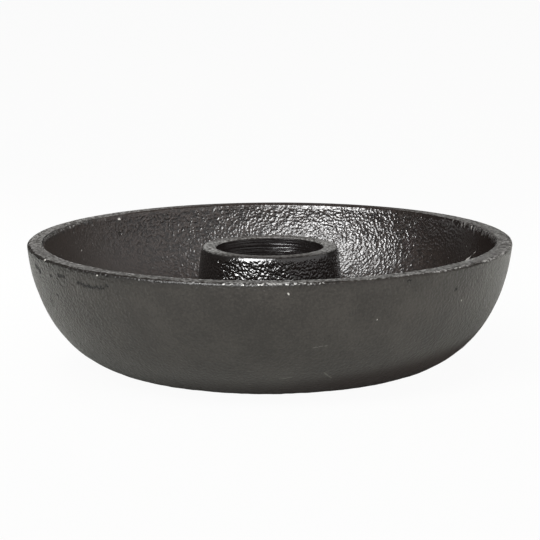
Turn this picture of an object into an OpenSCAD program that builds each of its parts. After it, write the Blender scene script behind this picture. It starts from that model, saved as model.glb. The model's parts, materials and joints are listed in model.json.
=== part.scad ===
// Dish candlestick: a cast bowl with a tapered candle socket standing in its middle.
// The socket is a casting of its own. It stands in a shallow turned seat on the bowl's floor,
// and one countersunk screw holds it from below, behind a self-adhesive felt pad.
// Millimetres, +Z up. The origin is on the table, on the bowl's axis, under the felt.

/* [Dish] */
// Outer diameter across the rim
rim_d = 100; // [90:1:120]
// Height of the casting from its base to its rim
dish_h = 26; // [24:0.5:34]
// Diameter of the flat base, where the outer curve starts
base_d = 53; // [52:1:62]
// Thickness of the wall at the rim
rim_wall = 3.6; // [3:0.1:5]
// Thickness of the floor under the bowl's inner curve
floor_t = 5; // [4.8:0.1:7]
// Diameter of the flat floor, where the inner curve starts
floor_d = 50; // [44:1:54]
// Rounding of the rim's outer edge
rim_outer_edge = 0.6; // [0.3:0.1:1.2]
// Rounding of the rim's inner edge
rim_inner_edge = 0.35; // [0.2:0.05:1]
// Exponent of the side's curve, where 2 is an ellipse and more is squarer
side_power = 2.2; // [1.9:0.05:2.5]
// Angle along the curve at which the wall reaches the rim, where 90 is upright
side_end_angle = 80; // [72:1:90]

/* [Socket] */
// Diameter of the candle's hole, a clearance fit on a 22 mm candle
bore_d = 22.2; // [20:0.1:24]
// Thickness of the socket's wall at its top
socket_wall = 3.1; // [2.5:0.1:4.5]
// Slope of the socket's flank, the draft that lets it leave its mould
socket_draft = 6; // [3:0.5:8]
// How far the socket's top lies below the rim
socket_drop = 1.5; // [0:0.1:4]
// Thickness of the socket's own floor, under the candle
socket_floor_t = 4.9; // [4:0.1:6]
// Rounding of the socket's top edge
socket_top_edge = 0.9; // [0.4:0.1:1.5]
// Small bevel round the socket's foot
socket_foot_edge = 0.3; // [0.1:0.1:0.6]
// Bevel at the mouth of the candle's hole
mouth_bevel = 0.3; // [0.1:0.1:0.8]
// Fillet in the corner at the bottom of the candle's hole
bore_corner = 1; // [0.5:0.1:2]

/* [Seat] */
// Depth of the turned seat that the socket stands in
seat_depth = 0.4; // [0.2:0.1:0.8]
// Gap all round the socket's foot in its seat
seat_clear = 0.15; // [0.1:0.05:0.4]

/* [Screw] */
// Thread diameter of the screw
screw_d = 5; // [4:0.5:5]
// Diameter of the screw's countersunk head
screw_head_d = 9.2; // [8.5:0.1:9.6]
// Height of the straight edge under the head's face
screw_head_land = 0.25; // [0.1:0.05:0.5]
// Width across the flats of the head's hexagon socket
hex_af = 3; // [2.5:0.1:3.4]
// Depth of the head's hexagon socket
hex_depth = 1.8; // [1.2:0.1:2.2]
// How far the head's face is sunk below the pad's recess
screw_sink = 0.2; // [0.1:0.05:0.4]
// Distance from the screw's tip to the bottom of the candle's hole
screw_tip_gap = 0.4; // [0.2:0.1:1]
// Bevel at the screw's tip
screw_tip_bevel = 0.5; // [0.2:0.1:0.8]
// Radial gap of the screw's shank in the dish's hole
hole_clear = 0.25; // [0.15:0.05:0.5]
// Radial gap of the thread's crests in the tapped hole
thread_clear = 0.05; // [0.03:0.01:0.1]

/* [Pad] */
// Width of the flat ring of bare casting round the pad's recess
base_land = 3.7; // [2:0.1:6]
// Thickness of the felt
pad_t = 1.5; // [1.2:0.1:2]
// Thickness of the adhesive film between the felt and the casting
film_t = 0.2; // [0.1:0.05:0.3]
// How far the felt stands out below the casting
pad_proud = 0.8; // [0.5:0.1:1]
// Gap all round the pad in its recess
pad_clear = 0.3; // [0.2:0.1:0.6]
// Distance by which the film stays back from the felt's edge
film_inset = 0.5; // [0.2:0.1:1.5]

/* [Hidden] */

// Smoothness of turned shapes, of small roundings and of the bowl's curve
turn_fn = 180;
edge_steps = 6;
curve_steps = 40;
// Overrun of every cut past the face that it opens
cut = 1;

// Heights above the table
base_z = pad_proud;
rim_z = base_z + dish_h;
floor_z = base_z + floor_t;
seat_z = floor_z - seat_depth;
recess_z = pad_t + film_t;
socket_top_z = rim_z - socket_drop;
bore_floor_z = seat_z + socket_floor_t;
mouth_z = socket_top_z - mouth_bevel;
head_z = recess_z + screw_sink;
cone_z = head_z + screw_head_land;
neck_z = cone_z + (screw_head_d - screw_d) / 2;
tip_z = bore_floor_z - screw_tip_gap;

// Radii
rim_r = rim_d / 2;
rim_in_r = rim_r - rim_wall;
socket_top_r = bore_d / 2 + socket_wall;
socket_foot_r = socket_top_r + (socket_top_z - seat_z) * tan(socket_draft);
seat_r = socket_foot_r + seat_clear;
recess_r = base_d / 2 - base_land;
pad_r = recess_r - pad_clear;
hole_r = screw_d / 2 + hole_clear;
tapped_r = screw_d / 2 + thread_clear;

// Points [radius, height] along an arc about centre c, from angle a to angle b
function arc(c, r, a, b, steps) =
    [for (i = [0 : steps]) let (t = a + (b - a) * i / steps) c + r * [cos(t), sin(t)]];

// Points [radius, height] along a bowl's side, which leaves p flat and climbs to q.
// It is the part of a superellipse up to side_end_angle, stretched to end at q.
function bowl_side(p, q) =
    let (k = 2 / side_power,
         out_end = pow(sin(side_end_angle), k),
         up_end = 1 - pow(cos(side_end_angle), k))
    [for (i = [0 : curve_steps])
        let (t = side_end_angle * i / curve_steps,
             out = pow(sin(t), k) / out_end,
             up = (1 - pow(cos(t), k)) / up_end)
        [p.x + (q.x - p.x) * out, p.y + (q.y - p.y) * up]];

function reversed(points) = [for (i = [len(points) - 1 : -1 : 0]) points[i]];

// Section of the dish's casting, with its two rim edges rounded
function dish_section() = concat(
    [[0, base_z]],
    bowl_side([base_d / 2, base_z], [rim_r, rim_z - rim_outer_edge]),
    arc([rim_r - rim_outer_edge, rim_z - rim_outer_edge], rim_outer_edge, 0, 90, edge_steps),
    arc([rim_in_r + rim_inner_edge, rim_z - rim_inner_edge], rim_inner_edge, 90, 180, edge_steps),
    reversed(bowl_side([floor_d / 2, floor_z], [rim_in_r, rim_z - rim_inner_edge])),
    [[0, floor_z]]);

// Section of the socket's outside, with its top edge rounded tangent to the sloping flank
function socket_section() =
    let (e = socket_top_edge,
         inset = e * (1 + sin(socket_draft)) / cos(socket_draft),
         foot_run = socket_foot_edge * tan(socket_draft),
         centre = [socket_top_r - inset + e * tan(socket_draft), socket_top_z - e])
    concat(
        [[0, seat_z],
         [socket_foot_r - socket_foot_edge, seat_z],
         [socket_foot_r - foot_run, seat_z + socket_foot_edge]],
        arc(centre, e, socket_draft, 90, edge_steps),
        [[0, socket_top_z]]);

// Section of the candle's hole, with a fillet round its floor and a bevel at its mouth
function bore_section() =
    let (r = bore_d / 2)
    concat(
        [[0, bore_floor_z]],
        arc([r - bore_corner, bore_floor_z + bore_corner], bore_corner, -90, 0, edge_steps),
        [[r, mouth_z],
         [r + mouth_bevel + cut, socket_top_z + cut],
         [0, socket_top_z + cut]]);

// A disc or a straight hole about the axis
module post(r, z, top) {
    translate([0, 0, z])
        cylinder(r = r, h = top - z, $fn = turn_fn);
}

// A cone of 45 degrees that narrows to the screw's shank at neck_z, and so passes the head's edge
module head_cone(from_z) {
    translate([0, 0, from_z])
        cylinder(r1 = screw_d / 2 + neck_z - from_z, r2 = screw_d / 2, h = neck_z - from_z,
                 $fn = turn_fn);
}

module dish() {
    color("#4a4845")
        difference() {
            rotate_extrude($fn = turn_fn)
                polygon(dish_section());
            post(seat_r, seat_z, floor_z + cut);
            post(recess_r, base_z - cut, recess_z);
            head_cone(recess_z - cut);
            post(hole_r, cone_z, seat_z + cut);
        }
}

module candle_socket() {
    color("#2f2b29")
        difference() {
            rotate_extrude($fn = turn_fn)
                polygon(socket_section());
            rotate_extrude($fn = turn_fn)
                polygon(bore_section());
            post(tapped_r, seat_z - cut, bore_floor_z + cut);
        }
}

module socket_screw() {
    color("#9a9a98")
        difference() {
            union() {
                post(screw_head_d / 2, head_z, cone_z);
                head_cone(cone_z);
                post(screw_d / 2, neck_z, tip_z - screw_tip_bevel);
                translate([0, 0, tip_z - screw_tip_bevel])
                    cylinder(r1 = screw_d / 2, r2 = screw_d / 2 - screw_tip_bevel,
                             h = screw_tip_bevel, $fn = turn_fn);
            }
            translate([0, 0, head_z - cut])
                cylinder(d = hex_af / cos(30), h = hex_depth + cut, $fn = 6);
        }
}

module felt_pad() {
    color("#3b3a3c")
        post(pad_r, 0, pad_t);
}

module pad_film() {
    color("#cfc7a8")
        post(pad_r - film_inset, pad_t, recess_z);
}

dish();
candle_socket();
socket_screw();
felt_pad();
pad_film();
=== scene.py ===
"""A cast-iron dish candlestick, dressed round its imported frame. Metres, +Z up, -Y to the camera."""
import json
from math import atan, cos, pi, radians, sin, tan

import bpy
import numpy as np
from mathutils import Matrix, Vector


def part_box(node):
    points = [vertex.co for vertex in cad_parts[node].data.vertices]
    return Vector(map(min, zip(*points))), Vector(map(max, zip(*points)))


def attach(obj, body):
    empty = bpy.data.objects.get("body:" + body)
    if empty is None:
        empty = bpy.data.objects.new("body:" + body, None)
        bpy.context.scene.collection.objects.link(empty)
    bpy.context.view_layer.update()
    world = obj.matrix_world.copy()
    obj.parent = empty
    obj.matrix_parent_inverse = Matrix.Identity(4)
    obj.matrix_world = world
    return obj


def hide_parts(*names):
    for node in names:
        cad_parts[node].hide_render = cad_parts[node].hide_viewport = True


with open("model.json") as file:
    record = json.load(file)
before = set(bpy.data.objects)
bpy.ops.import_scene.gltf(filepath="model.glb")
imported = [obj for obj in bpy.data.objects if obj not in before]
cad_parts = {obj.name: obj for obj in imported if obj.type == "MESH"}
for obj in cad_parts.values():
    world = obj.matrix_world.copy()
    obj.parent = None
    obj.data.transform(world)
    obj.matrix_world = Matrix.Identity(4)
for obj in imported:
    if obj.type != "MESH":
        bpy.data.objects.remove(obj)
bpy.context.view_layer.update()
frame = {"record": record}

MM = 0.001

# Dish, from the frame's boxes and the drawing's own sizes
DISH_LOW, DISH_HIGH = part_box("dish")
RIM_R = DISH_HIGH[0]
RIM_Z = DISH_HIGH[2]
BASE_Z = DISH_LOW[2]
BASE_R = 26.5 * MM
RIM_WALL = 3.6 * MM
RIM_INNER_R = RIM_R - RIM_WALL
FLOOR_T = 5 * MM
FLOOR_Z = BASE_Z + FLOOR_T
FLOOR_R = 25 * MM
RIM_OUTER_EDGE = 0.6 * MM
RIM_INNER_EDGE = 0.5 * MM
SIDE_POWER = 2.2
SIDE_END = radians(80)
SEAT_CLEAR = 0.15 * MM
HOLE_R = 2.75 * MM
RECESS_R = 22.8 * MM

# Candle socket
SOCKET_LOW, SOCKET_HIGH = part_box("candle_socket")
SEAT_Z = SOCKET_LOW[2]
SOCKET_TOP_Z = SOCKET_HIGH[2]
SOCKET_FOOT_R = SOCKET_HIGH[0]
SOCKET_DRAFT = radians(6)
SOCKET_EDGE = 0.5 * MM
SHOULDER_EDGE = 3.0 * MM
SHOULDER_END = radians(28)
FOOT_EDGE = 0.3 * MM
BORE_R = frame["record"]["mounts"][0]["dims"]["r_mm"] * MM
BORE_FLOOR_Z = SEAT_Z + 4.9 * MM
BORE_CORNER = 1.0 * MM
MOUTH_BEVEL = 0.3 * MM

# Screw, felt pad and film
SCREW_LOW, SCREW_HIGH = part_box("socket_screw")
HEAD_Z = SCREW_LOW[2]
TIP_Z = SCREW_HIGH[2]
HEAD_R = SCREW_HIGH[0]
SHANK_R = 2.5 * MM
HEAD_LAND = 0.25 * MM
CONE_Z = HEAD_Z + HEAD_LAND
NECK_Z = CONE_Z + HEAD_R - SHANK_R
TIP_BEVEL = 0.5 * MM
HEX_AF = 3.0 * MM
HEX_DEPTH = 1.8 * MM
THREAD_PITCH = 0.8 * MM
THREAD_DEPTH = 0.42 * MM
THREAD_CLEAR = 0.05 * MM
THREAD_START_Z = SEAT_Z - 0.2 * MM
PAD_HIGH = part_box("felt_pad")[1]
PAD_R = PAD_HIGH[0]
PAD_T = PAD_HIGH[2]
RECESS_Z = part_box("pad_film")[1][2]


# Profiles: arrays of [radius, height], with the material on the left of the way they run

def line(start, end, rows):
    """Points evenly spaced on a straight line from start to end, without the end itself."""
    share = np.arange(rows)[:, None] / rows
    return np.asarray(start) * (1 - share) + np.asarray(end) * share


def arc(centre, radius, start, end, rows):
    """Points on a circle about centre from angle start to end in radians, without the end itself."""
    angle = start + (end - start) * np.arange(rows) / rows
    return np.asarray(centre) + radius * np.column_stack([np.cos(angle), np.sin(angle)])


def bowl_side(start, end, rows):
    """A bowl's side: a superellipse that leaves start flat, stretched to reach end at SIDE_END.

    With t from 0 to SIDE_END, the way out is sin(t) and the way up is 1 - cos(t), each cosine and
    sine raised to 2 / SIDE_POWER. The rows are spread evenly by length along the curve.
    """
    power = 2 / SIDE_POWER
    t = np.linspace(0, SIDE_END, 40 * rows)
    out = np.sin(t) ** power / sin(SIDE_END) ** power
    up = (1 - np.cos(t) ** power) / (1 - cos(SIDE_END) ** power)
    curve = np.asarray(start) + np.column_stack([out, up]) * (np.asarray(end) - np.asarray(start))
    travelled = np.concatenate([[0], np.cumsum(np.hypot(*np.diff(curve, axis=0).T))])
    wanted = travelled[-1] * np.arange(rows) / rows
    return np.column_stack([np.interp(wanted, travelled, curve[:, k]) for k in (0, 1)])


def lines(start, *stretches):
    """Straight stretches that follow on from start, each given by its name, its end and its rows."""
    for name, end, rows in stretches:
        yield name, line(start, end, rows)
        start = end


def chain(*parts):
    """Joins named stretches of a profile. Returns the points, and each stretch's rows by name."""
    points, rows, count = [], {}, 0
    for name, stretch in parts:
        points.append(stretch)
        rows[name] = slice(count, count + len(stretch))
        count += len(stretch)
    return np.vstack(points), rows


# Fields: smooth random values worked out for whole arrays of points at once

def ripple(points, wavelength, seed, waves=56):
    """A smooth random field of about -2 to 2: many sine waves of one length in random directions."""
    rng = np.random.default_rng(seed)
    direction = rng.normal(size=(waves, 3))
    direction /= np.linalg.norm(direction, axis=1)[:, None]
    number = 2 * pi / (wavelength * rng.uniform(0.75, 1.35, waves))
    phase = rng.uniform(0, 2 * pi, waves)
    field = np.zeros(len(points))
    for k in range(waves):
        field += np.sin(points @ (direction[k] * number[k]) + phase[k])
    return field * np.sqrt(2 / waves)


def ripples(points, layers):
    """The sum of several ripples, each with its wavelength and height in millimetres and its seed."""
    return sum(ripple(points, length * MM, seed) * height * MM for length, height, seed in layers)


def step_up(value, low, high):
    """0 below low, 1 above high, and a smooth cubic between them."""
    t = np.clip((value - low) / (high - low), 0, 1)
    return t * t * (3 - 2 * t)


# Turned surfaces

class Turned:
    """A section carried round the Z axis: points and outward normals, row by row, around columns.

    The normal in the section is the tangent turned a quarter clockwise, and the tangent at a point
    is the direction between its two neighbours.
    """

    def __init__(self, section, around):
        self.profile, self.rows = section
        self.count, self.around = len(self.profile), around
        tangent = np.roll(self.profile, -1, axis=0) - np.roll(self.profile, 1, axis=0)
        tangent /= np.maximum(np.linalg.norm(tangent, axis=1), 1e-12)[:, None]
        self.points = self.carry(self.profile[:, 0], self.profile[:, 1])
        self.normals = self.carry(tangent[:, 1], -tangent[:, 0])
        self.radius = np.hypot(self.points[:, 0], self.points[:, 1])

    def carry(self, out, up):
        """Each row's way out and way up, carried to every angle round the axis."""
        angle = 2 * pi * np.arange(self.around) / self.around
        c, s = np.cos(angle), np.sin(angle)
        out, up = out[:, None], up[:, None]
        return np.stack([out * c, out * s, up + 0 * c], axis=2).reshape(-1, 3)

    def weigh(self, **weights):
        """One weight for each row, by the names of the profile's stretches, and 0 elsewhere."""
        values = np.zeros(self.count)
        for name, weight in weights.items():
            values[self.rows[name]] = weight
        return values

    def spread(self, values):
        """Each row's value given to all of its points."""
        return np.repeat(values, self.around)

    def faces(self, closed):
        """Quads between neighbouring rows, wrapped round, and from last row to first if closed."""
        last = self.count if closed else self.count - 1
        i = np.arange(last)[:, None]
        j = np.arange(self.around)[None, :]
        below, above = i * self.around, (i + 1) % self.count * self.around
        right = (j + 1) % self.around
        quads = np.stack([below + j, below + right, above + right, above + j], axis=2)
        return quads.reshape(-1, 4)

    def caps(self):
        """Triangles from the first and the last row to two points on the axis that follow the rows."""
        j = np.arange(self.around)
        right = (j + 1) % self.around
        last, pole = (self.count - 1) * self.around, self.count * self.around
        return np.vstack([np.column_stack([right, j, np.full(self.around, pole)]),
                          np.column_stack([last + j, last + right, np.full(self.around, pole + 1)])])


def add_object(name, data):
    """A new object in the scene that holds a mesh, a camera or a lamp."""
    holder = bpy.data.objects.new(name, data)
    bpy.context.collection.objects.link(holder)
    return holder


def make_piece(name, points, quads, triangles=(), sharp=50):
    """A mesh object at the origin from whole arrays, smooth but for creases over sharp degrees."""
    mesh = bpy.data.meshes.new(name)
    points = np.asarray(points, dtype=np.float32).reshape(-1, 3)
    triangles = np.asarray(triangles, dtype=np.int32).reshape(-1, 3)
    corners = np.concatenate([quads.ravel(), triangles.ravel()]).astype(np.int32)
    sizes = np.concatenate([np.full(len(quads), 4), np.full(len(triangles), 3)])
    starts = np.concatenate([[0], np.cumsum(sizes)[:-1]]).astype(np.int32)
    mesh.vertices.add(len(points))
    mesh.vertices.foreach_set("co", points.ravel())
    mesh.loops.add(len(corners))
    mesh.loops.foreach_set("vertex_index", corners)
    mesh.polygons.add(len(sizes))
    mesh.polygons.foreach_set("loop_start", starts)
    mesh.update(calc_edges=True)
    mesh.validate()
    mesh.shade_smooth()
    mesh.set_sharp_from_angle(angle=radians(sharp))
    return add_object(name, mesh)


def paint_attributes(piece, **fields):
    """Stores one number for each vertex under each name, for the material to read."""
    for name, values in fields.items():
        layer = piece.data.attributes.new(name, "FLOAT", "POINT")
        layer.data.foreach_set("value", np.asarray(values, dtype=np.float32).ravel())


def dress(piece, slot, materials, *nodes):
    """Gives a piece its materials, lets it ride, and lets it stand for its nodes; its slot is not
    used.
    """
    for material in materials:
        piece.data.materials.append(material)
    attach(piece, "root")
    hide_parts(*nodes)


def finish_rows(piece, around, first, last):
    """Gives the faces between two rows of a turned surface the piece's second material."""
    index = np.zeros(len(piece.data.polygons), dtype=np.int32)
    index[first * around:last * around] = 1
    piece.data.polygons.foreach_set("material_index", index)


# Dish

DISH_AROUND = 600
DISH_PEBBLES = [(1.1, 0.011, 11), (3.2, 0.018, 12)]
SAND_SKIN = [(1.5, 0.009, 17), (2.6, 0.012, 13), (7, 0.022, 14)]
RIM_WANDER = [(2.2, 0.05, 15), (9, 0.05, 16)]
LIP_DEPTH = 2 * MM


def dish_profile():
    """The casting's closed section: base, side, ground rim, inner wall, floor, seat, hole, recess."""
    outer_top = (RIM_R, RIM_Z - RIM_OUTER_EDGE)
    inner_top = (RIM_INNER_R, RIM_Z - RIM_INNER_EDGE)
    seat_r = SOCKET_FOOT_R + SEAT_CLEAR
    cone_r = SHANK_R + NECK_Z - RECESS_Z
    hole_top = NECK_Z - (HOLE_R - SHANK_R)
    inside = bowl_side((FLOOR_R, FLOOR_Z), inner_top, 78)
    return chain(
        ("base", line((RECESS_R, BASE_Z), (BASE_R, BASE_Z), 4)),
        ("outside", bowl_side((BASE_R, BASE_Z), outer_top, 34)),
        ("outer_edge", arc((RIM_R - RIM_OUTER_EDGE, outer_top[1]), RIM_OUTER_EDGE, 0, pi / 2, 5)),
        ("rim", line((RIM_R - RIM_OUTER_EDGE, RIM_Z), (RIM_INNER_R + RIM_INNER_EDGE, RIM_Z), 8)),
        ("inner_edge", arc((RIM_INNER_R + RIM_INNER_EDGE, inner_top[1]), RIM_INNER_EDGE,
                           pi / 2, pi, 4)),
        ("inner_top", np.array([inner_top])),
        ("inside", inside[::-1][:-1]),
        *lines((FLOOR_R, FLOOR_Z),
               ("floor", (seat_r, FLOOR_Z), 14),
               ("seat_wall", (seat_r, SEAT_Z), 1),
               ("seat", (HOLE_R, SEAT_Z), 3),
               ("hole", (HOLE_R, hole_top), 1),
               ("cone", (cone_r, RECESS_Z), 1),
               ("recess", (RECESS_R, RECESS_Z), 2),
               ("recess_wall", (RECESS_R, BASE_Z), 1)),
    )


def make_dish(outside_paint, inside_paint):
    """The bowl: a smooth sand-cast outside, a pebbled inside, and a rim ground flat across both."""
    dish = Turned(dish_profile(), DISH_AROUND)
    flat, weigh, spread = dish.points, dish.weigh, dish.spread
    inside = weigh(inner_edge=np.linspace(0.55, 0.95, 4), inner_top=1.0, inside=1.0, floor=1.0)
    outside = weigh(base=0.3, outside=1.0, outer_edge=np.linspace(0.9, 0.1, 5))

    # Azimuth is counted from the camera's side, to the right. The skin is calmer on both sides
    azimuth = np.arctan2(flat[:, 0], -flat[:, 1])
    from_front = np.abs(azimuth)

    def past(angle, low, high):
        """0 where an angle is under low degrees, 1 over high, and smooth between."""
        return step_up(angle, radians(low), radians(high))

    def swing(degrees, values):
        """Values given at degrees to the right of the front, blended between them all round."""
        return np.interp(azimuth, np.radians(degrees), values, period=2 * pi)

    lower = step_up(RIM_Z - flat[:, 2], 2 * MM, 14 * MM)
    pebbled = np.where(azimuth > 0, past(azimuth, 112, 150),
                       past(-azimuth - lower * radians(22), 106, 150))
    smoothest = swing([0, 40, 70, 160, 200, 300, 330], [0.7, 0.5, 0.14, 0.14, 0.25, 0.25, 0.6])
    pebbled = smoothest + (1 - smoothest) * pebbled
    lift = spread(inside) * ripples(flat, DISH_PEBBLES) * pebbled
    lift = lift + spread(outside) * ripples(flat, SAND_SKIN)
    moved = flat + dish.normals * lift[:, None]

    # The rim is ground after casting, so its inner edge wanders but everything stays in one plane
    wander = weigh(rim=np.linspace(0.05, 0.95, 8) ** 2, inner_edge=1.0, inner_top=1.0)
    inward = spread(wander) * ripples(flat, RIM_WANDER)
    moved[:, :2] -= flat[:, :2] / dish.radius[:, None] * inward[:, None]
    moved[:, 2] = np.minimum(moved[:, 2], RIM_Z)
    piece = make_piece("dish_casting", moved, dish.faces(closed=True))

    # The grinding has bared the rim, thinly at its right outer edge and not on its back inner edge
    all_but_back = 1 - past(from_front, 122, 158)
    ground = weigh(outer_edge=[0, 0.05, 0.2, 0.35, 0.5], rim=[0.65, 0.85, 1, 1, 1, 1, 1, 1],
                   inner_edge=[0.8, 0.4, 0.1, 0.0])
    inner_share = spread(weigh(inner_edge=1.0, inner_top=1.0))
    thin_edge = spread(weigh(outer_edge=[0.3, 0.5, 0.5, 0.45, 0.4]))
    ground = spread(ground) * (1 - inner_share * (1 - all_but_back))
    ground = ground + thin_edge * swing([25, 60, 120, 150], [0, 1, 1, 0])

    # Bare iron shows along the rim's edges, partly wear and partly painted highlight: glints heaped on
    # the outer edge at the front, and a bright line along the inner edge in front
    outer_wear_and_glints = weigh(outer_edge=[0.3, 0.7, 1.0, 1.0, 1.0], rim=[1.0, 0.8, 0.5, 0.2, 0, 0, 0, 0])
    inner_wear_and_highlight = weigh(inner_edge=[1.0, 0.9, 0.6, 0.3], rim=[0, 0, 0, 0, 0.1, 0.3, 0.6, 0.9])
    front_wear_and_glints = np.exp(-(from_front / radians(20)) ** 2)
    round_wear_and_glints = 0.1 + 0.9 * front_wear_and_glints + swing([20, 60, 140, 180], [0, 0.4, 0.4, 0])
    front_half = 1 - past(from_front, 50, 100)
    edge = spread(outer_wear_and_glints) * round_wear_and_glints + spread(inner_wear_and_highlight) * (0.2 + 0.8 * front_half) * all_but_back

    # The lip hangs inside at the sides and fades to the back
    below_rim = (RIM_Z - dish.profile[:, 1]) / LIP_DEPTH
    lip = weigh(inner_edge=0.92, inner_top=0.92, inside=0.92) * np.clip(1 - below_rim, 0, 1)
    lip_ends = np.where(azimuth > 0, past(azimuth, 112, 126), past(-azimuth, 112, 140))
    lip = spread(lip) * (past(from_front, 72, 98) * (1 - lip_ends))

    # The foot is dull and darker, a painted shade of the shadowed floor below it, most at the right;
    # the rim's outer rounding has a dark line of painted shade, most at the left
    foot_top = BASE_Z + swing([0, 50, 80, 170, 230], [6.4, 9.6, 11.0, 9.2, 6.2]) * MM
    foot = step_up(foot_top - flat[:, 2], 0, 4.2 * MM) * swing([20, 160, 220, 315], [1, 1, 0.25, 0.25])
    rolled = spread(weigh(outer_edge=[0.5, 0.9, 0.6, 0.1, 0]))
    rolled = rolled * swing([40, 160, 220, 340], [0.2, 0.2, 1, 1])
    outer_relief = swing([180, 225, 285, 330], [0.45, 1.7, 1.7, 0.45])
    relief = np.where(spread(outside) > 0, outer_relief, pebbled * (1 - 0.55 * inner_share))
    gloss = swing([0, 80, 118, 150, 175, 200, 238, 280],
                  [0.3, 0.17, 0.17, 0.25, 0.30, 0.36, 0.47, 0.47])
    gloss = gloss + lower * swing([100, 130, 170, 200], [0, 0.09, 0.09, 0])
    cover = swing([0, 15, 45, 75, 100, 126, 150, 190, 215, 250, 285, 315, 345],
                  [0.36, 0.29, 0.23, 0.32, 0.36, 0.28, 0.99, 0.99, 0.44, 0.34, 0.38, 0.30, 0.42])
    paint_attributes(piece, ground=ground, edge=edge, relief=relief, gloss=gloss, lip=lip, cover=cover,
                     rolled=rolled, foot=foot)
    dress(piece, "dish_iron", (outside_paint, inside_paint), "dish")
    finish_rows(piece, DISH_AROUND, dish.rows["rim"].start, dish.rows["hole"].start)


# Candle socket

SOCKET_AROUND = 360
CUP_SKIN = [(1.0, 0.008, 21), (3.0, 0.012, 22)]


def thread_ridge(angle, z):
    """A right-hand screw's form as a share of its depth: flat at crest and root, straight between."""
    turns = (z / THREAD_PITCH - angle / (2 * pi)) % 1
    away = np.abs(turns - 0.5) * 2
    return np.clip((away - 0.12) / 0.7, 0, 1)


def socket_profile():
    """The socket's closed section: foot, flank, shoulder, edge, top, mouth, bore and tapped hole.

    The shoulder is an arc that leaves the flank smoothly and meets the edge's smaller arc smoothly,
    so their centres and the point where they meet lie on one line.
    """
    lean = tan(SOCKET_DRAFT)
    top_r = SOCKET_FOOT_R - (SOCKET_TOP_Z - SEAT_Z) * lean
    beyond = SHOULDER_EDGE - SOCKET_EDGE
    drop = SOCKET_EDGE + beyond * sin(SHOULDER_END) - SHOULDER_EDGE * sin(SOCKET_DRAFT)
    edge_r = top_r + drop * lean - SHOULDER_EDGE * cos(SOCKET_DRAFT) + beyond * cos(SHOULDER_END)
    edge_centre = np.array([edge_r, SOCKET_TOP_Z - SOCKET_EDGE])
    shoulder_centre = edge_centre - beyond * np.array([cos(SHOULDER_END), sin(SHOULDER_END)])
    shoulder = arc(shoulder_centre, SHOULDER_EDGE, SOCKET_DRAFT, SHOULDER_END, 8)
    tapped_r = SHANK_R + THREAD_CLEAR
    corner_r = BORE_R - BORE_CORNER
    corner_z = BORE_FLOOR_Z + BORE_CORNER
    return chain(
        *lines((tapped_r, SEAT_Z),
               ("foot", (SOCKET_FOOT_R - FOOT_EDGE, SEAT_Z), 6),
               ("foot_edge", (SOCKET_FOOT_R - FOOT_EDGE * lean, SEAT_Z + FOOT_EDGE), 2),
               ("flank", shoulder[0], 56)),
        ("shoulder", shoulder),
        ("top_edge", arc(edge_centre, SOCKET_EDGE, SHOULDER_END, pi / 2, 6)),
        *lines((edge_centre[0], SOCKET_TOP_Z),
               ("top", (BORE_R + MOUTH_BEVEL, SOCKET_TOP_Z), 8),
               ("mouth", (BORE_R, SOCKET_TOP_Z - MOUTH_BEVEL), 2),
               ("bore", (BORE_R, corner_z), 26)),
        ("corner", arc((corner_r, corner_z), BORE_CORNER, 0, -pi / 2, 6)),
        *lines((corner_r, BORE_FLOOR_Z),
               ("bore_floor", (tapped_r, BORE_FLOOR_Z), 10),
               ("tapped", (tapped_r, SEAT_Z), 56)),
    )


def make_socket(material):
    """The cup: a pebbled cast flank with draft, and a turned top, bore and tapped hole."""
    cup = Turned(socket_profile(), SOCKET_AROUND)
    flat, weigh, spread = cup.points, cup.weigh, cup.spread
    cast = weigh(flank=1.0, shoulder=0.7, top_edge=np.linspace(0.6, 0.1, 6))
    moved = flat + cup.normals * (spread(cast) * ripples(flat, CUP_SKIN))[:, None]

    # The tapped thread: ridges that stand inward from the crest radius, a turn each pitch
    angle = np.arctan2(flat[:, 1], flat[:, 0])
    ridge = (1 - thread_ridge(angle, flat[:, 2])) * THREAD_DEPTH
    near_ends = np.minimum(BORE_FLOOR_Z - flat[:, 2], flat[:, 2] - SEAT_Z)
    tapped = spread(weigh(tapped=1.0)) * step_up(near_ends, 0, 0.3 * MM)
    moved[:, :2] -= flat[:, :2] / cup.radius[:, None] * (ridge * tapped)[:, None]
    piece = make_piece("candle_cup", moved, cup.faces(closed=True), sharp=40)

    # The top face and its edge are paler at the left and right than at the front and back
    front = np.cos(angle + pi / 2)
    sides = 1 - step_up(np.abs(front), 0.35, 0.95)
    well = weigh(bore=1.0, corner=1.0, bore_floor=1.0, tapped=1.0)
    turned = well + weigh(top=[0, 1, 1, 1, 1, 1, 1, 1], mouth=1.0)
    turned_edge = weigh(top_edge=[0.1, 0.3, 0.5, 0.7, 0.85, 1.0], top=[1, 0, 0, 0, 0, 0, 0, 0])
    edge = weigh(top_edge=[0, 0, 0.2, 0.5, 0.5, 0.3], top=[0.2, 0, 0, 0, 0, 0, 0.1, 0.4],
                 mouth=[0.4, 0.3])
    smooth = weigh(shoulder=np.linspace(0.1, 0.85, 8), top_edge=0.9)
    ground = spread(turned) + spread(turned_edge) * (0.45 + 0.55 * sides)
    paint_attributes(piece, ground=ground, edge=spread(edge), well=spread(well), smooth=spread(smooth),
                     cover=(1 - sides) * 0.62)
    dress(piece, "socket_iron", (material,), "candle_socket")


# Screw

SCREW_AROUND = 96


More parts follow.
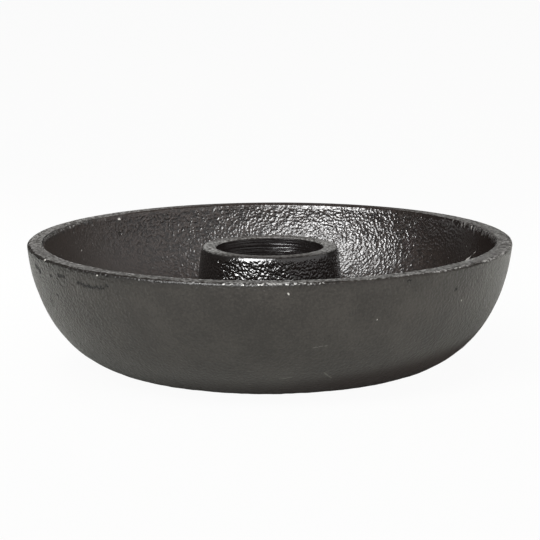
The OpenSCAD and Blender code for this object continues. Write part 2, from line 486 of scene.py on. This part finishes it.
def screw_profile():
    """The screw's section from the middle of its hexagon's floor, round the head, to its tip."""
    hex_r = HEX_AF / 2
    hex_floor = HEAD_Z + HEX_DEPTH
    lip = 0.12 * MM
    return chain(*lines(
        (0.4 * MM, hex_floor),
        ("hex_floor", (hex_r, hex_floor), 3),
        ("hex_wall", (hex_r, HEAD_Z + lip), 5),
        ("hex_lip", (hex_r + lip, HEAD_Z), 2),
        ("face", (HEAD_R - lip, HEAD_Z), 6),
        ("face_edge", (HEAD_R, HEAD_Z + lip), 2),
        ("land", (HEAD_R, CONE_Z), 2),
        ("cone", (SHANK_R, NECK_Z), 8),
        ("neck", (SHANK_R, THREAD_START_Z), 4),
        ("thread", (SHANK_R, TIP_Z - TIP_BEVEL), 64),
        ("tip_edge", (SHANK_R - TIP_BEVEL, TIP_Z), 6),
        ("tip", (0.2 * MM, TIP_Z), 5),
    ))


def make_screw(material):
    """A countersunk screw with a hexagon socket in its head and a helical thread formed by rolling."""
    screw = Turned(screw_profile(), SCREW_AROUND)
    flat, weigh, spread = screw.points, screw.weigh, screw.spread
    angle = np.arctan2(flat[:, 1], flat[:, 0])

    # A hexagon's radius at an angle is half its width over the cosine of the angle to its flat
    to_flat = (angle + pi / 6) % (pi / 3) - pi / 6
    hexagon = weigh(hex_floor=1.0, hex_wall=1.0, hex_lip=[1.0, 0.6])
    scale = 1 + spread(hexagon) * (1 / np.cos(to_flat) - 1)
    thread = spread(weigh(thread=1.0, tip_edge=np.linspace(1, 0, 6)))
    runout = step_up(flat[:, 2], THREAD_START_Z, THREAD_START_Z + THREAD_PITCH)
    groove = (1 - thread_ridge(angle, flat[:, 2])) * THREAD_DEPTH * thread * runout
    moved = flat.copy()
    moved[:, :2] *= (scale - groove / screw.radius)[:, None]

    poles = [(0, 0, HEAD_Z + HEX_DEPTH), (0, 0, TIP_Z)]
    piece = make_piece("countersunk_screw", np.vstack([moved, poles]), screw.faces(closed=False),
                       screw.caps(), sharp=35)
    edge = weigh(hex_lip=1.0, face_edge=1.0, land=0.6, tip_edge=0.5)
    paint_attributes(piece, edge=np.concatenate([spread(edge), [0, 0]]))
    dress(piece, "screw_steel", (material,), "socket_screw")


# Felt pad

PAD_AROUND = 300
FELT_DENTS = [(1.9, 0.03, 31), (0.8, 0.015, 32)]


def pad_profile():
    """The felt's section from the middle of its lower face round its soft edge to its upper face."""
    soft = 0.3 * MM
    return chain(
        ("under", line((0.4 * MM, 0), (PAD_R - soft, 0), 40)),
        ("low_edge", arc((PAD_R - soft, soft), soft, -pi / 2, 0, 4)),
        ("side", line((PAD_R, soft), (PAD_R, PAD_T - soft), 4)),
        ("high_edge", arc((PAD_R - soft, PAD_T - soft), soft, 0, pi / 2, 4)),
        ("upper", line((PAD_R - soft, PAD_T), (0.4 * MM, PAD_T), 8)),
    )


def make_pad(material):
    """A punched felt disc: matted, a little uneven underneath, its cut edge fraying slightly."""
    pad = Turned(pad_profile(), PAD_AROUND)
    matted = pad.spread(pad.weigh(under=1.0, low_edge=0.8, side=0.8, high_edge=0.4))
    dents = np.abs(ripples(pad.points, FELT_DENTS))
    moved = pad.points - pad.normals * (matted * dents)[:, None]
    moved[:, 2] = np.clip(moved[:, 2], 0, PAD_T)
    poles = [(0, 0, 0), (0, 0, PAD_T)]
    piece = make_piece("felt_disc", np.vstack([moved, poles]), pad.faces(closed=False), pad.caps())
    dress(piece, "felt", (material,), "felt_pad")


# Shader building: short steps that add one node each, to the tree that their sockets belong to

def is_socket(value):
    """Whether a value is a node's socket and not a plain number, list or colour."""
    return isinstance(value, bpy.types.NodeSocket)


def tree_of(*values):
    """The node tree of the first socket among the values."""
    return next(value.id_data for value in values if is_socket(value))


def set_inputs(node, inputs):
    """Links sockets to a node's inputs and sets plain values on them, by name or number."""
    for key, value in dict(inputs).items():
        if is_socket(value):
            node.id_data.links.new(value, node.inputs[key])
        else:
            node.inputs[key].default_value = value


def shade(tree, kind, inputs=(), **settings):
    """Adds a node, sets its settings, and sets or links its inputs."""
    node = tree.nodes.new("ShaderNode" + kind)
    for name, value in settings.items():
        setattr(node, name, value)
    set_inputs(node, inputs)
    return node


def place_group(group, inputs):
    """Puts a node group with its own values into the tree of its sockets, and returns its outputs."""
    return shade(tree_of(*inputs.values()), "Group", inputs, node_tree=group).outputs


def calc(operation, a, b=0.0, clamp=False):
    """One step of arithmetic on two values."""
    return shade(tree_of(a, b), "Math", {0: a, 1: b}, operation=operation, use_clamp=clamp).outputs[0]


def plus(a, b):
    """The sum of two values."""
    return calc("ADD", a, b)


def minus(a, b):
    """The first value less the second."""
    return calc("SUBTRACT", a, b)


def times(a, b):
    """The product of two values."""
    return calc("MULTIPLY", a, b)


def larger(a, b):
    """The larger of two values."""
    return calc("MAXIMUM", a, b)


def vector(operation, a, b, out=0):
    """One step of arithmetic on two vectors."""
    return shade(tree_of(a, b), "VectorMath", {0: a, 1: b}, operation=operation).outputs[out]


def scaled(a, scale):
    """A vector times a value."""
    return shade(tree_of(a), "VectorMath", {0: a, "Scale": scale}, operation="SCALE").outputs[0]


def blend(share, a, b):
    """The value a where share is 0 and b where it is 1."""
    return shade(tree_of(share), "Mix", {0: share, 2: a, 3: b}, data_type="FLOAT").outputs[0]


def blend_colour(share, a, b):
    """The colour a where share is 0 and b where it is 1."""
    return shade(tree_of(share), "Mix", {0: share, 6: a, 7: b}, data_type="RGBA").outputs[2]


def paint_over(skin, *coats):
    """The colour skin under several coats, each a share and the colour that it brings."""
    for share, coat in coats:
        skin = blend_colour(share, skin, coat)
    return skin


def between(value, low, high):
    """0 where value is below low, 1 above high, smooth between."""
    return shade(tree_of(value), "MapRange", {"Value": value, "From Min": low, "From Max": high},
                 interpolation_type="SMOOTHSTEP").outputs[0]


def noise(where, size, detail=3.0, roughness=0.6, out="Fac"):
    """Cloudy noise of 0 to 1, whose patches are about size metres across."""
    scale = calc("DIVIDE", 1.0, size) if is_socket(size) else 1 / size
    inputs = {"Vector": where, "Scale": scale, "Detail": detail, "Roughness": roughness}
    return shade(tree_of(where), "TexNoise", inputs).outputs[out]


def stray(where, reach, size=0.36 * MM, detail=2.0):
    """The place moved by up to half of reach by noise, so that a form drawn there looks torn."""
    cloud = noise(where, size, detail, 0.5, "Color")
    offset = vector("SUBTRACT", cloud, (0.5, 0.5, 0.5))
    return vector("ADD", where, scaled(offset, reach))


def attribute(tree, name):
    """A value stored on the mesh by name."""
    return shade(tree, "Attribute", attribute_name=name).outputs["Fac"]


def height_to_normal(height):
    """A bump from a height in millimetres."""
    return shade(tree_of(height), "Bump", {"Height": height, "Distance": MM}).outputs[0]


def bare_tree(owner):
    """The node tree of a material or a world, emptied."""
    owner.use_nodes = True
    owner.node_tree.nodes.clear()
    return owner.node_tree


def new_material(name):
    """A material with an empty tree, its Principled shader, and its Object coordinates."""
    material = bpy.data.materials.new(name)
    tree = bare_tree(material)
    surface = shade(tree, "BsdfPrincipled")
    shade(tree, "OutputMaterial", {"Surface": surface.outputs[0]})
    where = shade(tree, "TexCoord").outputs["Object"]
    return material, tree, surface, where


def new_group(name, inputs, outputs):
    """An empty node group. Inputs are default values by name, where None stands for a vector."""
    tree = bpy.data.node_groups.new(name, "ShaderNodeTree")
    for label, default in inputs.items():
        kind = "NodeSocketVector" if default is None else "NodeSocketFloat"
        socket = tree.interface.new_socket(label, in_out="INPUT", socket_type=kind)
        if default is not None:
            socket.default_value = default
    for label in outputs:
        tree.interface.new_socket(label, in_out="OUTPUT", socket_type="NodeSocketFloat")
    return tree, tree.nodes.new("NodeGroupInput").outputs, tree.nodes.new("NodeGroupOutput")


def colour(red, green, blue):
    """A colour for a socket from 0 to 255 values as they look on a screen."""
    screen = np.array([red, green, blue]) / 255
    linear = np.where(screen <= 0.04045, screen / 12.92, ((screen + 0.055) / 1.055) ** 2.4)
    return (*linear, 1.0)


# Effects that more than one finish uses

def cast_skin_group():
    """The skin of a painted sand casting: soft pebbles of one size with finer grain over them."""
    tree, take, give = new_group(
        "cast_skin",
        {"Vector": None, "Pebble Size": 0.001, "Pebble Height": 0.06, "Grain Height": 0.01},
        ["Height", "Valleys"])
    moved = stray(take["Vector"], 0.9 * MM, 2.6 * MM, 1.0)
    soft = noise(moved, take["Pebble Size"], 1.0, 0.35)
    pebble_scale = calc("DIVIDE", 1.0, take["Pebble Size"])
    domes = shade(tree, "TexVoronoi", {"Vector": moved, "Scale": pebble_scale, "Smoothness": 0.6},
                  feature="SMOOTH_F1").outputs["Distance"]
    pebbles = plus(times(soft, 1.15), times(minus(0.8, domes), 0.4))
    grain = noise(take["Vector"], 0.22 * MM, 2.0)
    height = plus(times(pebbles, take["Pebble Height"]), times(grain, take["Grain Height"]))
    set_inputs(give, {"Height": height, "Valleys": between(pebbles, 0.80, 0.58)})
    return tree


def edge_wear_group():
    """Paint worn off along an edge: the edge's own mask broken up by noise of a chip's size.

    Worn is where the bare metal shows, and Flaked is where a chip between has left a dark pit.
    """
    tree, take, give = new_group(
        "edge_wear", {"Vector": None, "Edge": 0.0, "Amount": 0.5, "Chip Size": 0.0006},
        ["Worn", "Flaked"])
    chips = noise(take["Vector"], take["Chip Size"])
    level = plus(times(take["Edge"], take["Amount"]), chips)
    flaked = times(between(chips, 0.45, 0.38), take["Edge"])
    set_inputs(give, {"Worn": between(level, 0.84, 0.98), "Flaked": flaked})
    return tree


def turning_marks_group():
    """Fine grooves left by a lathe tool: noise stretched round the axis, so it changes only with
    the radius and the height, with slight breaks on the way round."""
    tree, take, give = new_group(
        "turning_marks", {"Vector": None, "Groove Size": 0.0003, "Groove Height": 0.004},
        ["Height", "Streaks"])
    axes = shade(tree, "SeparateXYZ", {0: take["Vector"]}).outputs
    radius = calc("SQRT", plus(times(axes[0], axes[0]), times(axes[1], axes[1])))
    slow = scaled(take["Vector"], 0.03)
    rings = shade(tree, "CombineXYZ", {0: radius, 1: 0.0, 2: axes[2]}).outputs[0]
    grooves = noise(vector("ADD", rings, slow), take["Groove Size"], 2.0, 0.7)
    set_inputs(give, {"Height": times(grooves, take["Groove Height"]), "Streaks": grooves})
    return tree


def scar_group():
    """A mark along a straight stroke: 1 on the line between two points, 0 beyond its width.

    The place on the stroke nearest to a point is found by its share of the way along, which is
    the dot product with the stroke over the stroke's own square.
    """
    tree, take, give = new_group(
        "scar", {"Vector": None, "From": None, "To": None, "Width": 0.0003}, ["Mask"])
    stroke = vector("SUBTRACT", take["To"], take["From"])
    away = vector("SUBTRACT", take["Vector"], take["From"])
    along = vector("DOT_PRODUCT", away, stroke, "Value")
    square = vector("DOT_PRODUCT", stroke, stroke, "Value")
    share = calc("DIVIDE", along, plus(square, 1e-12), clamp=True)
    off = vector("DISTANCE", away, scaled(stroke, share), "Value")
    set_inputs(give, {"Mask": between(off, take["Width"], times(take["Width"], 0.4))})
    return tree


CAST_SKIN = cast_skin_group()
EDGE_WEAR = edge_wear_group()
TURNING_MARKS = turning_marks_group()
SCAR = scar_group()

# Colours of the paint, by how it lies, with the painted shade and light that are marked below
# The valleys' colour: paint pooled there, and painted shade there too
PAINT_VALLEY_SHADE = colour(17, 12, 10)
PAINT_CREST = colour(46, 38, 34)
# Painted shade on the right inner wall and painted light on the left one
RIGHT_WALL_SHADE = colour(19, 14, 12)
LEFT_WALL_LIGHT = colour(54, 48, 43)
# Painted shade along the rim's outer rounding
RIM_EDGE_SHADE = colour(17, 14, 12)
# Painted shade of the shadowed floor, at the foot
FOOT_SHADE = colour(26, 12, 8)
# Painted shade under the rim's edge, on the lip at the left
LIP_NOTCH_SHADE = colour(19, 16, 14)
# The cup's valleys: paint pooled there, and painted shade there too
CUP_VALLEY_SHADE = colour(12, 8, 6)
CUP_CREST = colour(22, 17, 15)
SATIN_DARK = colour(33, 29, 26)
SATIN_PALE = colour(53, 49, 45)

# Colours of the iron, and of the flaws in it
GROUND_DARK = colour(66, 65, 62)
GROUND_PALE = colour(166, 165, 162)
BARE_IRON = colour(206, 205, 202)
BORE_DARK = colour(15, 10, 9)
BORE_PALE = colour(24, 18, 17)
PIT_OUTSIDE = colour(10, 8, 7)
PIT_INSIDE = colour(14, 12, 11)
BURR = colour(190, 187, 181)
HAIRLINE = colour(112, 110, 104)

# Colours of the other pieces and of the floor
ZINC_DARK = colour(150, 152, 154)
ZINC_PALE = colour(186, 187, 186)
WOOL_DARK = colour(38, 37, 38)
WOOL_PALE = colour(66, 64, 64)
WOOL_LINT = colour(104, 101, 98)
FILM_CLEAR = colour(203, 192, 154)
FILM_AIR = colour(224, 219, 202)
PAPER = colour(190, 191, 186)
WHITE = (1, 1, 1, 1)

# Sizes and shares that several finishes have in common
CLOUD_SIZE = 9 * MM
TORN_REACH = 0.4 * MM
RIM_WEAR = 0.39
WORN_METAL = 0.4
BURR_HEIGHT = 0.10

# Flaws of the casting in millimetres: strokes from one point to another, with their widths
OUTSIDE_DENTS = [
    ((-37.3, -32.9, 24.0), (-35.0, -35.2, 23.6), 0.42),
    ((-35.0, -35.2, 23.6), (-31.9, -38.1, 23.8), 0.36),
    ((-31.9, -38.1, 23.8), (-31.2, -38.8, 24.5), 0.30),
    ((-46.9, -16.7, 24.7), (-45.7, -19.4, 23.8), 0.62),
    ((-41.4, -27.6, 24.4), (-40.1, -29.6, 24.6), 0.50),
    ((-43.3, -24.4, 23.9), (-43.1, -24.8, 23.8), 0.38),
    ((-41.9, -25.2, 20.2), (-41.8, -25.3, 19.9), 0.34),
    ((-43.5, -21.0, 18.2), (-43.3, -20.9, 17.3), 0.36),
    ((26.2, -42.6, 25.8), (26.6, -42.3, 25.7), 0.34),
    ((35.9, -34.0, 22.4), (36.1, -33.8, 22.4), 0.34),
]
OUTSIDE_BURRS = [
    ((-44.5, -22.4, 26.6), (-44.4, -22.6, 26.6), 0.38),
    ((-33.2, -37.4, 26.2), (-33.1, -37.4, 26.2), 0.24),
    ((3.4, -49.7, 24.9), (3.5, -49.7, 24.6), 0.22),
    ((20.3, -44.0, 18.6), (20.3, -44.0, 18.5), 0.20),
    ((37.3, -31.5, 19.8), (37.3, -31.5, 19.7), 0.20),
]
HAIRLINES = [
    ((1.7, -41.4, 6.6), (4.0, -41.5, 6.9), 0.16),
    ((10.3, -41.2, 7.7), (11.7, -39.4, 6.3), 0.18),
    ((8.1, -45.8, 13.6), (10.8, -45.3, 13.9), 0.12),
]
INSIDE_DENTS = [
    ((-47.4, -15.1, 26.8), (-46.2, -18.1, 26.8), 0.24),
    ((-33.0, 31.7, 22.8), (-32.8, 31.8, 22.7), 0.45),
    ((42.9, 17.3, 26.8), (42.6, 17.9, 25.4), 0.22),
    ((43.7, 15.7, 26.8), (43.2, 16.6, 25.4), 0.22),
]
INSIDE_BURRS = [
    ((43.2, 16.9, 26.4), (43.1, 17.0, 25.9), 0.26),
    ((41.9, 15.4, 19.4), (42.4, 14.5, 20.0), 0.30),
    ((42.4, 14.5, 20.0), (43.6, 12.5, 21.7), 0.18),
    ((-33.2, 32.3, 25.9), (-33.0, 32.5, 25.9), 0.32),
    ((-40.6, 20.1, 21.1), (-40.5, 20.1, 21.0), 0.20),
]


def strongest_scar(where, strokes):
    """The strongest of several marks at each place."""
    strongest = None
    for start, end, width in strokes:
        values = {"Vector": where, "From": [c * MM for c in start], "To": [c * MM for c in end],
                  "Width": width * MM}
        mask = place_group(SCAR, values)[0]
        strongest = mask if strongest is None else larger(strongest, mask)
    return strongest


def torn_border(where, ground):
    """The ground face's mask: its border wanders with the grinding and frays where paint chips."""
    drift = noise(where, CLOUD_SIZE, 1.0, 0.5)
    chips = noise(where, 0.7 * MM)
    shift = plus(times(drift, 0.9), times(chips, 0.9))
    return between(plus(ground, minus(shift, 0.9)), 0.44, 0.58)


def ground_iron(where, cover):
    """Ground iron under thin paint, more of it where cover is high, with pores and tool marks.

    Gives the colour, the roughness and the height.
    """
    marks = place_group(TURNING_MARKS, {"Vector": where, "Groove Size": 0.5 * MM,
                                        "Groove Height": 0.008})
    pits = between(noise(where, 0.42 * MM), 0.45, 0.35)
    mottle = between(noise(where, 0.6 * MM, 2.0), 0.43, 0.57)
    skin = paint_over(GROUND_DARK, (mottle, GROUND_PALE), (cover, PAINT_CREST),
                      (times(pits, 0.8), PAINT_CREST))
    height = minus(marks["Height"], times(pits, 0.05))
    return skin, blend(pits, 0.42, 0.60), height


def flawed(height, dents, depth, burrs):
    """The height with its dents sunk by depth and its burrs raised."""
    return plus(minus(height, times(dents, depth)), times(burrs, BURR_HEIGHT))


def satin_paint():
    """Brown-black stove paint on the smooth outside, thinner on the rim's ground edge."""
    material, tree, surface, where = new_material("satin_paint")
    ground, edge = attribute(tree, "ground"), attribute(tree, "edge")
    cast = place_group(CAST_SKIN, {"Vector": where, "Pebble Size": 0.6 * MM, "Grain Height": 0.03,
                                   "Pebble Height": times(attribute(tree, "relief"), 0.32)})
    # Worn edges show bare iron: partly wear, partly painted highlight of glints heaped at the front of
    # the rim
    worn = place_group(EDGE_WEAR, {"Vector": where, "Edge": edge, "Amount": RIM_WEAR})
    torn = stray(where, TORN_REACH)
    dents = strongest_scar(stray(where, 1.5 * MM), OUTSIDE_DENTS)
    dents = times(dents, between(noise(where, 0.5 * MM, 2.0, 0.5), 0.32, 0.44))
    burrs = strongest_scar(torn, OUTSIDE_BURRS)
    hairlines = strongest_scar(torn, HAIRLINES)
    iron, iron_roughness, iron_height = ground_iron(where, attribute(tree, "cover"))
    ground = torn_border(where, ground)
    height = blend(ground, cast["Height"], iron_height)
    normal = height_to_normal(flawed(height, dents, 0.60, burrs))

    cloud = noise(where, CLOUD_SIZE)
    speckle = noise(where, 0.45 * MM, 2.0)
    tone = plus(times(cloud, 0.45), times(speckle, 0.55))
    # Painted shade: darker towards the foot, and a dark line along the rim's outer rounding
    foot = attribute(tree, "foot")
    skin = paint_over(
        SATIN_DARK, (between(tone, 0.36, 0.64), SATIN_PALE), (foot, FOOT_SHADE),
        (attribute(tree, "rolled"), RIM_EDGE_SHADE), (ground, iron), (worn["Worn"], BARE_IRON),
        (larger(dents, worn["Flaked"]), PIT_OUTSIDE), (burrs, BURR), (times(hairlines, 0.6), HAIRLINE))
    satin = blend(foot, blend(tone, 0.32, 0.44), 0.80)
    satin = blend(dents, satin, 0.85)
    set_inputs(surface, {"Base Color": skin, "Roughness": blend(ground, satin, iron_roughness),
                         "Metallic": times(worn["Worn"], WORN_METAL), "IOR": 1.66, "Normal": normal})
    return material


def glossy_paint():
    """The same paint, glossy over the pebbled inside and worn thin on the ground rim, with painted
    shade and light on its walls.
    """
    material, tree, surface, where = new_material("glossy_paint")
    ground, edge, lip, relief = (attribute(tree, name) for name in ("ground", "edge", "lip", "relief"))
    cast = place_group(CAST_SKIN, {"Vector": where, "Pebble Size": 0.56 * MM, "Grain Height": 0.012,
                                   "Pebble Height": times(relief, 0.25)})
    # Worn edges show bare iron: partly wear, partly painted highlight of glints heaped at the front of
    # the rim
    worn = place_group(EDGE_WEAR, {"Vector": where, "Edge": edge, "Amount": RIM_WEAR})["Worn"]
    torn = stray(where, TORN_REACH)
    dents = strongest_scar(torn, INSIDE_DENTS)
    burrs = strongest_scar(torn, INSIDE_BURRS)
    iron, iron_roughness, iron_height = ground_iron(where, attribute(tree, "cover"))

    # The ground rim ends inside in a ragged lip, torn downwards in short teeth
    streaks = shade(tree, "Mapping", {"Vector": where, "Scale": (1, 1, 0.2)}).outputs[0]
    stripes = noise(streaks, 0.45 * MM, 2.0)
    teeth = between(plus(lip, times(stripes, 2.8)), 2.00, 2.12)
    ground = larger(torn_border(where, ground), teeth)
    height = blend(ground, cast["Height"], iron_height)
    normal = height_to_normal(flawed(height, dents, 0.40, burrs))

    # Paint lies dark in the valleys, partly pooled and partly painted shade; painted shade darkens the
    # right wall and painted light pales the left wall, both chosen by their gloss
    valleys = times(cast["Valleys"], plus(times(relief, 0.7), 0.3))
    gloss = attribute(tree, "gloss")
    right_wall_shade = between(gloss, 0.26, 0.15)
    left_wall = between(gloss, 0.42, 0.47)

    # It covers part of the lip too: all but some teeth at the right, and notches at the left, which
    # are dark with painted shade under the rim's edge
    painted = times(lip, between(stripes, 0.68, 0.36))
    notched = larger(between(stripes, 0.58, 0.46), between(lip, 0.80, 0.55))
    notched = times(notched, between(lip, 0.1, 0.4))
    painted = larger(painted, times(left_wall, notched))
    iron = blend_colour(painted, iron, blend_colour(left_wall, PAINT_CREST, LIP_NOTCH_SHADE))
    skin = paint_over(
        PAINT_CREST, (valleys, PAINT_VALLEY_SHADE), (times(right_wall_shade, 0.85), RIGHT_WALL_SHADE),
        (times(left_wall, 0.35), LEFT_WALL_LIGHT), (ground, iron), (worn, BARE_IRON),
        (times(dents, 0.7), PIT_INSIDE), (burrs, BURR))
    cloud = minus(noise(where, CLOUD_SIZE), 0.5)
    gloss = plus(gloss, times(cloud, 0.08))
    set_inputs(surface, {"Base Color": skin, "Roughness": blend(ground, gloss, iron_roughness),
                         "Metallic": times(worn, WORN_METAL), "IOR": 2.25, "Normal": normal})
    return material


def socket_paint():
    """Glossy paint over the pebbled flank, and thinner paint over tool marks on the turned faces."""
    material, tree, surface, where = new_material("socket_paint")
    ground, edge, well = (attribute(tree, name) for name in ("ground", "edge", "well"))
    cast = place_group(CAST_SKIN, {"Vector": where, "Pebble Size": 0.50 * MM, "Pebble Height": 0.245,
                                   "Grain Height": 0.02})
    tool = place_group(TURNING_MARKS, {"Vector": where, "Groove Size": 0.36 * MM,
                                       "Groove Height": 0.12})
    worn = place_group(EDGE_WEAR, {"Vector": where, "Edge": edge, "Amount": 0.4})["Worn"]
    iron, iron_roughness, iron_height = ground_iron(where, attribute(tree, "cover"))
    height = blend(attribute(tree, "smooth"), cast["Height"], 0.2)
    height = blend(ground, height, iron_height)
    normal = height_to_normal(blend(well, height, tool["Height"]))
    bare = blend_colour(between(tool["Streaks"], 0.4, 0.65), BORE_DARK, BORE_PALE)
    # The flank's valleys are darker: paint pooled there, and painted shade
    skin = paint_over(CUP_CREST, (cast["Valleys"], CUP_VALLEY_SHADE), (ground, iron), (well, bare),
                      (worn, BARE_IRON))
    turned = blend(well, iron_roughness, 0.27)
    set_inputs(surface, {"Base Color": skin, "Roughness": blend(ground, 0.21, turned),
                         "Metallic": times(worn, WORN_METAL), "IOR": 2.45, "Normal": normal})
    return material


def zinc_steel():
    """Bright zinc plate with the faint crystal patches and worn edges of a used screw."""
    material, tree, surface, where = new_material("zinc_steel")
    worn = place_group(EDGE_WEAR, {"Vector": where, "Edge": attribute(tree, "edge"), "Amount": 0.6,
                                   "Chip Size": 0.3 * MM})["Worn"]
    patches = noise(where, 1.2 * MM)
    plate = paint_over(ZINC_DARK, (patches, ZINC_PALE), (worn, BARE_IRON))
    marks = place_group(TURNING_MARKS, {"Vector": where, "Groove Size": 0.12 * MM,
                                        "Groove Height": 0.002})
    set_inputs(surface, {"Base Color": plate, "Roughness": blend(patches, 0.26, 0.42), "Metallic": 1.0,
                         "Normal": height_to_normal(marks["Height"])})
    return material


def wool_felt():
    """Pressed wool: fibres as noise stretched in three crossing directions, with lighter lint."""
    material, tree, surface, where = new_material("wool_felt")
    fibres = []
    for turned_by, size in ((0.5, 0.35), (2.1, 0.3), (1.2, 0.4)):
        lay = shade(tree, "Mapping", {"Vector": where, "Rotation": (0, 0, turned_by),
                                      "Scale": (1, 0.16, 1)})
        fibres.append(noise(lay.outputs[0], size * MM, 2.0))
    mat = larger(larger(fibres[0], fibres[1]), fibres[2])
    wool = paint_over(WOOL_DARK, (between(mat, 0.45, 0.7), WOOL_PALE),
                      (between(mat, 0.62, 0.80), WOOL_LINT))
    set_inputs(surface, {"Base Color": wool, "Roughness": blend(mat, 0.98, 0.86), "Sheen Weight": 0.5,
                         "Sheen Roughness": 0.5, "Normal": height_to_normal(times(mat, 0.18))})
    return material


def adhesive_film():
    """Clear-amber double-sided film with trapped air showing as paler patches."""
    material, tree, surface, where = new_material("adhesive_film")
    air = between(noise(where, 2.4 * MM, 3.0, 0.55), 0.5, 0.66)
    set_inputs(surface, {"Base Color": blend_colour(air, FILM_CLEAR, FILM_AIR),
                         "Roughness": blend(air, 0.28, 0.5),
                         "Normal": height_to_normal(times(air, 0.03))})
    return material


# Camera, floor and light

PHOTO_PX = 540
SENSOR = 36.0
VIEW_DISTANCE = 500 * MM
VIEW_ELEVATION = radians(9.62)
VIEW_ROLL = radians(-0.306)
PX_PER_MM = 4.832
RIM_CENTRE_PX = (269.85, 238.8)

# Shares of white that the floor shows to the camera and in gloss, and levels of the room's light
FLOOR_SEEN = 0.95
FLOOR_MIRRORED = 0.0
ROOM_LIGHT = 0.08
ROOM_MIRRORED = 0.04

# Lamps that stand round the dish: azimuth and elevation in degrees, distance, width, height and
# radiance, and whether gloss shows them
SOFT_BOXES = {
    "key": (-28, 44.5, 1.6, 1.16, 1.24, 4.9, True),
    "key_core": (-36, 36, 1.6, 0.6, 0.6, 9.0, True),
    "side_fill": (58, 12, 1.3, 2.0, 0.9, 3.9, False),
    "side_wall": (64, 30, 1.2, 2.2, 1.1, 0.30, True),
}

# Lamps that hang over the floor: place and radiance
FLOOR_LAMPS = {"floor_left": (-0.15, 0.09, 2.6), "floor_right": (0.20, 0.09, 2.8)}
FLOOR_LAMP_SIZE = 0.16
FLOOR_LAMP_HEIGHT = 0.3
FLOOR_LAMP_SPREAD = radians(60)


def place_camera():
    """Looks at the rim's middle from the photograph's distance and elevation, then turns so that
    this point falls on its pixel: the offsets from the image's centre over the focal length are
    the tangents of the two turns."""
    focal_px = PX_PER_MM * VIEW_DISTANCE / MM
    turn_right = atan((RIM_CENTRE_PX[0] - PHOTO_PX / 2) / focal_px)
    turn_up = atan((RIM_CENTRE_PX[1] - PHOTO_PX / 2) / focal_px)
    camera = add_object("camera", bpy.data.cameras.new("camera"))
    camera.data.sensor_width = SENSOR
    camera.data.lens = focal_px / PHOTO_PX * SENSOR
    camera.data.clip_start = 10 * MM
    camera.data.clip_end = 20.0
    back, up = VIEW_DISTANCE * cos(VIEW_ELEVATION), VIEW_DISTANCE * sin(VIEW_ELEVATION)
    camera.location = (0, -back, RIM_Z + up)
    camera.rotation_mode = "ZYX"
    camera.rotation_euler = (pi / 2 - VIEW_ELEVATION + turn_up, turn_right, VIEW_ROLL)
    bpy.context.scene.camera = camera


def off_gloss(rays):
    """1 for rays off glossy or through clear surfaces."""
    return larger(rays["Is Glossy Ray"], rays["Is Transmission Ray"])


def lay_floor():
    """A white floor that keeps a soft shadow, fainter to the camera, and that is clear from below."""
    half = 4.0
    corners = [(-half, -half, 0), (half, -half, 0), (half, half, 0), (-half, half, 0)]
    mesh = bpy.data.meshes.new("floor")
    mesh.from_pydata(corners, [], [(0, 1, 2, 3)])
    floor = add_object("floor", mesh)
    material = bpy.data.materials.new("floor_white")
    tree = bare_tree(material)
    paper = shade(tree, "BsdfDiffuse", {"Color": PAPER}).outputs[0]
    white = shade(tree, "Emission", {"Color": WHITE, "Strength": 1.0}).outputs[0]
    rays = shade(tree, "LightPath").outputs
    seen = larger(times(rays["Is Camera Ray"], FLOOR_SEEN), times(off_gloss(rays), FLOOR_MIRRORED))
    mixed = shade(tree, "MixShader", {0: seen, 1: paper, 2: white}).outputs[0]
    clear = shade(tree, "BsdfTransparent").outputs[0]
    behind = shade(tree, "NewGeometry").outputs["Backfacing"]
    mixed = shade(tree, "MixShader", {0: behind, 1: mixed, 2: clear}).outputs[0]
    shade(tree, "OutputMaterial", {"Surface": mixed})
    mesh.materials.append(material)


def hang_lamp(name, place, width, height, radiance, mirrored):
    """A flat lamp that faces down, as bright as radiance, where 1 is white paper in plain light.

    Its power is radiance times area times pi. One that isn't mirrored shows in no gloss.
    """
    lamp = bpy.data.lights.new(name, "AREA")
    lamp.shape = "RECTANGLE"
    lamp.size = width
    lamp.size_y = height
    lamp.energy = radiance * width * height * pi
    holder = add_object(name, lamp)
    holder.location = place
    holder.visible_glossy = mirrored
    return holder


def light_studio():
    """A dim room over a white floor: a soft box at front left that is brightest low down at its left,
    paler walls at the right, and two lamps that whiten the floor beside the dish.

    Azimuth is counted from the camera's side, to the right.
    """
    world = bpy.data.worlds.new("studio")
    bpy.context.scene.world = world
    tree = bare_tree(world)
    rays = shade(tree, "LightPath").outputs
    level = blend(off_gloss(rays), ROOM_LIGHT, ROOM_MIRRORED)
    level = blend(rays["Is Camera Ray"], level, 1.0)
    room = shade(tree, "Background", {"Color": WHITE, "Strength": level}).outputs[0]
    shade(tree, "OutputWorld", {"Surface": room})

    for name, (azimuth, elevation, distance, width, height, radiance, mirrored) in SOFT_BOXES.items():
        a, e = radians(azimuth), radians(elevation)
        place = (distance * sin(a) * cos(e), -distance * cos(a) * cos(e), distance * sin(e))
        holder = hang_lamp(name, place, width, height, radiance, mirrored)
        holder.rotation_mode = "QUATERNION"
        holder.rotation_quaternion = holder.location.to_track_quat("Z", "Y")
    for name, (x, y, radiance) in FLOOR_LAMPS.items():
        place = (x, y, FLOOR_LAMP_HEIGHT)
        holder = hang_lamp(name, place, FLOOR_LAMP_SIZE, FLOOR_LAMP_SIZE, radiance, False)
        holder.data.spread = FLOOR_LAMP_SPREAD
        holder.visible_camera = False
    bpy.context.scene.view_settings.view_transform = "Standard"


place_camera()
lay_floor()
light_studio()
make_dish(satin_paint(), glossy_paint())
make_socket(socket_paint())
make_screw(zinc_steel())
make_pad(wool_felt())
film = bpy.data.objects["pad_film"]
film.data.materials.clear()
film.data.materials.append(adhesive_film())
